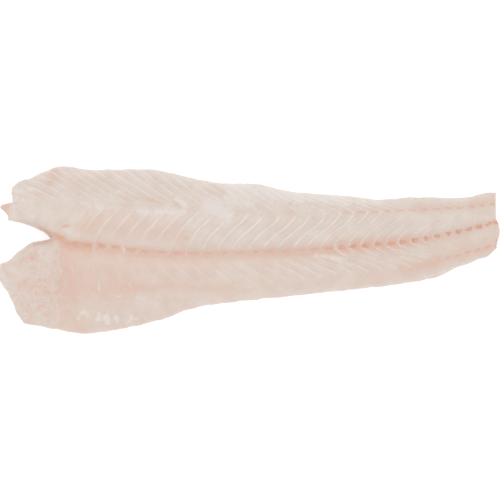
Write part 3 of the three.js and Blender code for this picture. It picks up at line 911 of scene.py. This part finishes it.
def red_dots(add, marks, clouds):
    """One dot in each flake, halfway between its sheets: full within about 1 of the root of the
    squares of the distances along and across, which are in half sizes of a dot. Its edge is ragged
    and its inside flecked."""
    to_sheet = add("Math", (marks["dot_number"], 0.5), operation="PINGPONG")
    from_dot = add("Math", (0.5, to_sheet), operation="SUBTRACT")
    along = add("Math", (from_dot, 0.32), operation="DIVIDE")
    squares = [add("Math", (way, way), operation="MULTIPLY") for way in (along, marks["from_dots"])]
    reach = add("Math", (add("Math", squares, operation="ADD"),), operation="SQRT")
    waver = add("MapRange", (clouds["speck"], 0.2, 0.8, -0.5, 0.5), **EASED)
    inside = add("MapRange", (add("Math", (reach, waver), operation="ADD"), 1.15, 0.55), **EASED)
    fleck = add("MapRange", (clouds["speck"], 0.55, 0.4, 0.7, 1.1), **EASED)
    flecked = add("Math", (inside, fleck), operation="MULTIPLY")
    return add("Math", (flecked, marks["dots"]), operation="MULTIPLY")


def pink_flesh_and_notch_shade(add, marks, clouds, from_sheet):
    """How pink the flesh is: the blush, with the painted shade in the notch, cloudy and less so beside
    a sheet, plus the flap's mottling.
    """
    near = add("MapRange", (from_sheet, 0.35, 0.05), **EASED)
    beside = add("Math", (near, marks["sheets"]), operation="MULTIPLY")
    less = add("Math", (beside, 0.5), operation="MULTIPLY")
    cloudy = add("MapRange", (clouds["patch"], 0.25, 0.65, 0.75, 1.15), **EASED)
    between = add("Math", (cloudy, less), operation="SUBTRACT")
    blush_and_notch_shade = add("Math", (marks["blush_and_notch_shade"], between), operation="MULTIPLY")
    mottle = add("MapRange", (clouds["mottle"], 0.42, 0.7, 0, 0.4), **EASED)
    mottled = add("Math", (marks["flap"], mottle), operation="MULTIPLY")
    warm = add("Math", (blush_and_notch_shade, mottled), operation="ADD")
    return add("Math", (warm, 1.0), operation="MINIMUM")


def torn_membrane_and_glints(add, marks, clouds):
    """Membrane and the painted glints with torn edges, and threads of membrane on the flap, where a
    cloud is near a half.
    """
    tear = add("MapRange", (clouds["patch"], 0.2, 0.8, -0.3, 0.3), **EASED)
    ragged_film_and_glints = add("Math", (marks["film_and_glints"], tear), operation="ADD")
    from_half = add("Math", (clouds["thread"], 0.5), operation="SUBTRACT")
    from_thread = add("Math", (from_half,), operation="ABSOLUTE")
    thread = add("MapRange", (from_thread, 0.05, 0.0), **EASED)
    threads = add("Math", (thread, marks["flap"]), operation="MULTIPLY")
    return add("MapRange", (ragged_film_and_glints, 0.15, 0.85), **EASED), threads


def painted_lap_shade_and_grain(add, marks, number, fibres):
    """Painted shade and grain: a flake is painted darkest, as shade, where it slips under the sheet
    before it, and carries more grain there. Where the sheets don't show, about a third of that is left."""
    within = add("Math", (number,), operation="FRACT")
    # Painted shade: darkest just past each sheet, lighter toward the next.
    painted_lap_shade = add("MapRange", (within, 0.0, 0.65, 0.965, 1.0), **EASED)
    grained = add("MapRange", (fibres, 0.25, 0.75, 0.965, 1.025), **EASED)
    shaded = add("Math", (painted_lap_shade, grained), operation="MULTIPLY")
    darkening = add("Math", (shaded, 1.0), operation="SUBTRACT")
    share = add("MapRange", (marks["sheets"], 0, 1, 0.35, 1), **EASED)
    part = add("Math", (darkening, share), operation="MULTIPLY")
    shade = add("Math", (1.0, part), operation="ADD")
    return add("CombineColor", (shade, shade, shade))


def fine_relief(add, heights):
    """The bumps of the wet surface: heights times their shares, added up."""
    parts = [add("Math", (height, share), operation="MULTIPLY") for height, share in heights]
    relief = parts[0]
    for part in parts[1:]:
        relief = add("Math", (relief, part), operation="ADD")
    return add("Bump", {"Height": relief, "Strength": 0.5, "Distance": 0.0003})


def raw_flesh(colours, mark_names):
    """Raw white fish flesh, cut with a knife and wet: pale, faintly see-through muscle. It gives the
    eye a soft, even glow with a wet sheen, white sheets between the flakes and red along the bone.
    All that is drawn on it follows the markings that the mesh carries."""
    material = bpy.data.materials.new("raw_white_fish_flesh")
    material.use_nodes = True
    material.node_tree.nodes.clear()
    add = partial(add_node, material.node_tree)
    marks = {name: add("Attribute", output="Fac", attribute_name=name) for name in mark_names}
    clouds = flesh_clouds(add)
    fibres = flesh_fibres(add, marks)
    number, from_sheet, sheet = white_sheets(add, marks, clouds)
    torn, threads = torn_membrane_and_glints(add, marks, clouds)
    clear = add("MapRange", (marks["film_and_glints"], 0.9, 0.1, 0.35, 0.8), **EASED)
    patchy = add("MapRange", (clouds["patch"], 0.3, 0.6, 0.6, 1), **EASED)

    # The colours that lie over the flesh, one over the other, and how much each covers.
    layers = (
        ("pale_flesh", add("MapRange", (clouds["broad"], 0.3, 0.7), **EASED)),
        # Pink flesh, with the painted shade in the notch.
        ("blush_and_notch_shade", pink_flesh_and_notch_shade(add, marks, clouds, from_sheet)),
        # Membrane and painted highlights (the whitish glints), in the film colour.
        ("film_and_glints", add("Math", (torn, 0.85), operation="MULTIPLY")),
        ("film_and_glints", add("Math", (threads, 0.5), operation="MULTIPLY")),
        ("sheet", add("Math", (sheet, clear), operation="MULTIPLY")),
        ("blood", add("Math", (marks["blood"], patchy), operation="MULTIPLY")),
        ("blood", add("Math", (red_dots(add, marks, clouds), 1.0), operation="MINIMUM")),
        ("film_and_glints", add("Math", (marks["underside"], 0.5), operation="MULTIPLY")),
    )
    colour = (*colours.flesh, 1)
    for name, share in layers:
        over = (*getattr(colours, name), 1)
        colour = add("Mix", {0: share, 6: colour, 7: over}, output=2, data_type="RGBA")
    # The painted shade under the sheets' laps, with the grain, darkens the colour.
    shade = painted_lap_shade_and_grain(add, marks, number, fibres)
    colour = add(
        "Mix", {0: 1.0, 6: colour, 7: shade}, output=2, data_type="RGBA", blend_type="MULTIPLY"
    )

    heights = (fibres, 0.5), (clouds["patch"], 0.35), (sheet, 0.5), (threads, 0.6)
    shader = add("BsdfPrincipled", {
        "Base Color": colour,
        "Roughness": add("MapRange", (clouds["patch"], 0.3, 0.7, 0.26, 0.42), **EASED),
        "IOR": 1.38,
        "Subsurface Weight": 0.2,
        "Subsurface Radius": (1.0, 0.45, 0.3),
        "Subsurface Scale": 0.004,
        "Coat Weight": 0.25,
        "Coat Roughness": 0.12,
        "Coat IOR": 1.34,
        "Normal": fine_relief(add, heights),
    })
    add("OutputMaterial", {"Surface": shader})
    return material


def white_floor(glow):
    """Matte white studio paper, lit from below. It gives the eye an even white that stays white
    beside the fillet and in its notch."""
    material = bpy.data.materials.new("matte_white_paper")
    material.use_nodes = True
    shader = material.node_tree.nodes["Principled BSDF"]
    shader.inputs["Base Color"].default_value = (*linear("#cbcbcb"), 1)
    shader.inputs["Roughness"].default_value = 0.9
    shader.inputs["Emission Color"].default_value = WHITE
    shader.inputs["Emission Strength"].default_value = glow
    return material


def white_surround(strength):
    """An even white world of a given strength, which the camera sees as plain white."""
    world = bpy.data.worlds.new("white_surround")
    world.use_nodes = True
    world.node_tree.nodes.clear()
    add = partial(add_node, world.node_tree)
    seen = add("LightPath", output="Is Camera Ray")
    lit, backdrop = (add("Background", (WHITE, value)) for value in (strength, 1.0))
    add("OutputWorld", {"Surface": add("MixShader", (seen, lit, backdrop))})
    return world


def new_mesh_object(name, points, faces, material):
    """Adds a smoothly shaded mesh at the origin to the scene."""
    mesh = bpy.data.meshes.new(name)
    mesh.from_pydata(points, [], faces)
    mesh.shade_smooth()
    mesh.materials.append(material)
    piece = bpy.data.objects.new(name, mesh)
    bpy.context.scene.collection.objects.link(piece)
    return piece


def number_setting(name, description, default, least, unit="NONE"):
    """A number that may not go below its least value, in metres where it is a length."""
    return bpy.props.FloatProperty(
        name=name, description=description, default=default, min=least, unit=unit
    )


def colour_setting(name, description, code):
    """A colour that is given as an sRGB code."""
    return bpy.props.FloatVectorProperty(
        name=name, description=description, default=linear(code), subtype="COLOR"
    )


class FilletSizes(bpy.types.PropertyGroup):
    """Outer sizes of the fillet"""

    length: number_setting("Length", "Belly flap tip to cut tail", LENGTH * MM, 0.1, "LENGTH")
    width: number_setting(
        "Width", "Back edge to belly edge, at the broadest places of both", WIDTH * MM, 0.03, "LENGTH"
    )
    thickness: number_setting(
        "Thickness", "Thickest place of the loin", LOIN_THICKNESS * MM, 0.005, "LENGTH"
    )


class FilletColours(bpy.types.PropertyGroup):
    """Colours of the flesh and of what lies on it"""

    flesh: colour_setting("Flesh", "Muscle in the darker clouds", "#d8c8bd")
    pale_flesh: colour_setting("Pale flesh", "Muscle in the lighter clouds", "#dcd0c7")
    # The blush colour also paints the shade in the notch.
    blush_and_notch_shade: colour_setting("Blush", "Pinker muscle near the bone", "#dab6a5")
    blood: colour_setting("Blood", "Red dots and dark flesh", "#d6a086")
    # The film colour also paints the whitish glints, which are painted highlights.
    film_and_glints: colour_setting("Film", "Pale membrane on the flesh", "#e1d8d2")
    sheet: colour_setting("Sheets", "White sheets between the flakes", "#e9e4df")


class StudioSettings(bpy.types.PropertyGroup):
    """Light and camera of the studio"""

    surround: number_setting("Surround", "Strength of the even light from all round", 0.92, 0)
    key_power: number_setting("Key", "Power of the large soft lamp", 2.75, 0, "POWER")
    floor_glow: number_setting("Floor glow", "Light given off by the white floor", 0.56, 0)
    camera_height: number_setting("Camera height", "Camera above the floor", 1.2, 0.3, "LENGTH")


SETTINGS = {
    "fillet_sizes": FilletSizes,
    "fillet_colours": FilletColours,
    "fillet_studio": StudioSettings,
}


class FILLET_OT_add_fillet(bpy.types.Operator):
    """Adds the fillet, one closed piece of flesh"""

    bl_idname = "fillet.add_fillet"
    bl_label = "Fillet"

    def execute(self, context):
        sizes = context.scene.fillet_sizes
        skin = fillet_skin()
        modelled = np.array([LENGTH, WIDTH, LOIN_THICKNESS])
        scale = np.array([sizes.length, sizes.width, sizes.thickness]) / modelled
        marks = markings(skin)
        material = raw_flesh(context.scene.fillet_colours, marks)
        piece = new_mesh_object("fillet_flesh", skin.points * scale, skin.faces.tolist(), material)
        for name, values in marks.items():
            attribute = piece.data.attributes.new(name, "FLOAT", "POINT")
            attribute.data.foreach_set("value", values.astype(np.float32))
        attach(piece, "root")
        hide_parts("fillet")
        return {"FINISHED"}


class FILLET_OT_add_studio(bpy.types.Operator):
    """Adds a white floor, soft white light and a camera straight above"""

    bl_idname = "fillet.add_studio"
    bl_label = "Studio"

    def execute(self, context):
        scene, studio = context.scene, context.scene.fillet_studio
        turns = ((-1, -1), (1, -1), (1, 1), (-1, 1))
        corners = [(x * FLOOR_HALF_SIDE, y * FLOOR_HALF_SIDE, -FLOOR_GAP) for x, y in turns]
        floor = new_mesh_object("floor", corners, [(0, 1, 2, 3)], white_floor(studio.floor_glow))

        lamp = bpy.data.lights.new("key", "AREA")
        lamp.energy = studio.key_power
        lamp.size = KEY_SIZE
        key = bpy.data.objects.new("key", lamp)
        key.location = KEY_PLACE
        key.rotation_euler = key.location.to_track_quat("Z", "Y").to_euler()
        scene.collection.objects.link(key)

        scene.world = white_surround(studio.surround)
        scene.view_settings.view_transform = "Standard"

        camera_data = bpy.data.cameras.new("camera")
        camera_data.sensor_width = SENSOR_WIDTH
        camera_data.lens = SENSOR_WIDTH * (studio.camera_height - WIDEST_HEIGHT) / (LENGTH * MM)
        camera = bpy.data.objects.new("camera", camera_data)
        camera.location = (CAMERA_ASIDE, CAMERA_ASIDE, studio.camera_height)
        scene.collection.objects.link(camera)
        scene.camera = camera
        return {"FINISHED"}


class FILLET_PT_panel(bpy.types.Panel):
    """Lists the settings and the operators"""

    bl_idname = "FILLET_PT_panel"
    bl_label = "Stargazer Fillet"
    bl_space_type = "VIEW_3D"
    bl_region_type = "UI"
    bl_category = "Fillet"

    def draw(self, context):
        for group in SETTINGS:
            settings = getattr(context.scene, group)
            for name in settings.__annotations__:
                self.layout.prop(settings, name)
        self.layout.operator(FILLET_OT_add_fillet.bl_idname)
        self.layout.operator(FILLET_OT_add_studio.bl_idname)


CLASSES = (*SETTINGS.values(), FILLET_OT_add_fillet, FILLET_OT_add_studio, FILLET_PT_panel)


def register():
    """Registers the classes and puts the settings on the scene."""
    for cls in CLASSES:
        bpy.utils.register_class(cls)
    for name, group in SETTINGS.items():
        setattr(bpy.types.Scene, name, bpy.props.PointerProperty(type=group))


def unregister():
    """Takes away all that register added."""
    for name in SETTINGS:
        delattr(bpy.types.Scene, name)
    for cls in reversed(CLASSES):
        bpy.utils.unregister_class(cls)


def main():
    """Adds the fillet and the studio."""
    register()
    bpy.ops.fillet.add_fillet()
    bpy.ops.fillet.add_studio()


if __name__ == "__main__":
    main()
